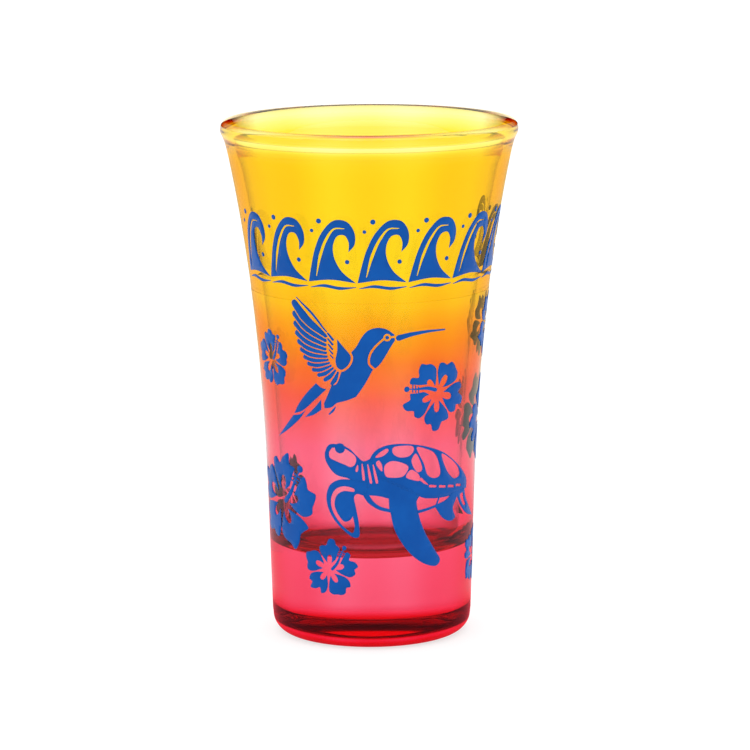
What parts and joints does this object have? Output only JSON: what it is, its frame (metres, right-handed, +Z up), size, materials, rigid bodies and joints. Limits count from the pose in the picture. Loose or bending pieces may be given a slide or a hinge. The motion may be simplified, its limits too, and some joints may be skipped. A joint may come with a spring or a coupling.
{
  "type": "shot glass",
  "caption": "Flared souvenir shot glass with a thick base, see-through yellow to pink colour coats and a blue screen print of waves, a hummingbird, a sea turtle and hibiscus flowers.",
  "frame": {"origin": "middle of the underside, at the height of the ring that the glass stands on", "axes": "+Z up along the axis of the glass, towards the mouth; -Y towards the viewer, the side that carries the hummingbird; +X to the right of that view"},
  "size_m": [0.0482, 0.0482, 0.084],
  "materials": {
    "clear_glass": "clear, fire-polished, very smooth",
    "yellow_coat": "see-through sprayed lacquer, glossy",
    "pink_coat": "see-through sprayed lacquer, glossy",
    "blue_ink": "opaque screen-printed ink, satin"
  },
  "bodies": {
    "root": {"glass_body": "clear_glass", "yellow_coat": "yellow_coat", "pink_coat": "pink_coat", "base_coat": "pink_coat", "print_bird_bill": "blue_ink", "print_bird_body": "blue_ink", "print_bird_tail": "blue_ink", "print_bird_wing": "blue_ink", "print_hibiscus_1": "blue_ink", "print_hibiscus_2": "blue_ink", "print_hibiscus_3": "blue_ink", "print_hibiscus_4": "blue_ink", "print_hibiscus_5": "blue_ink", "print_hibiscus_6": "blue_ink", "print_hibiscus_7": "blue_ink", "print_hibiscus_8": "blue_ink", "print_turtle_front_flipper": "blue_ink", "print_turtle_head": "blue_ink", "print_turtle_rear_flippers": "blue_ink", "print_turtle_shell": "blue_ink", "print_turtle_side_flipper": "blue_ink", "print_wave_1": "blue_ink", "print_wave_2": "blue_ink", "print_wave_3": "blue_ink", "print_wave_4": "blue_ink", "print_wave_5": "blue_ink", "print_wave_6": "blue_ink", "print_wave_7": "blue_ink", "print_wave_8": "blue_ink"}
  },
  "joints": []
}
